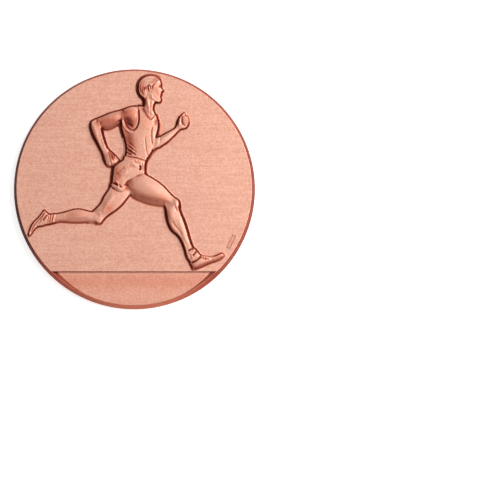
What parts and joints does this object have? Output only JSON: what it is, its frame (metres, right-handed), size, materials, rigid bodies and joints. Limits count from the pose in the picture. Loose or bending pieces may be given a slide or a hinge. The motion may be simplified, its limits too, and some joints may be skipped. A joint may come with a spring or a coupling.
{
  "type": "sports finisher medal",
  "caption": "Round built-up bronze finisher medal: tapered struck base, flat face plate with an applied runner relief, sunk exergue below and an engraving disc on the back.",
  "frame": {"origin": "centre of the circle on the back face's plane, so the medal lies face up on the plane z = 0", "axes": "+Z out of the struck face, +Y towards the runner's head (the top of the medal), +X the way the runner runs"},
  "size_m": [0.06, 0.06, 0.0048],
  "materials": {
    "body_bronze": "antiqued copper-bronze plate, darkened on the tapered edge",
    "field_bronze": "matte blasted copper-bronze plate with faint brushing",
    "relief_bronze": "matte copper-bronze with dark red-brown patina in the recesses",
    "reverse_bronze": "finely brushed copper-bronze plate",
    "solder": "dull tin solder film",
    "adhesive": "translucent pressure-sensitive film"
  },
  "bodies": {
    "root": {"medal_body": "body_bronze", "field_solder_film": "solder", "field_plate": "field_bronze", "runner_relief": "relief_bronze", "reverse_adhesive_film": "adhesive", "reverse_plate": "reverse_bronze"}
  },
  "joints": []
}
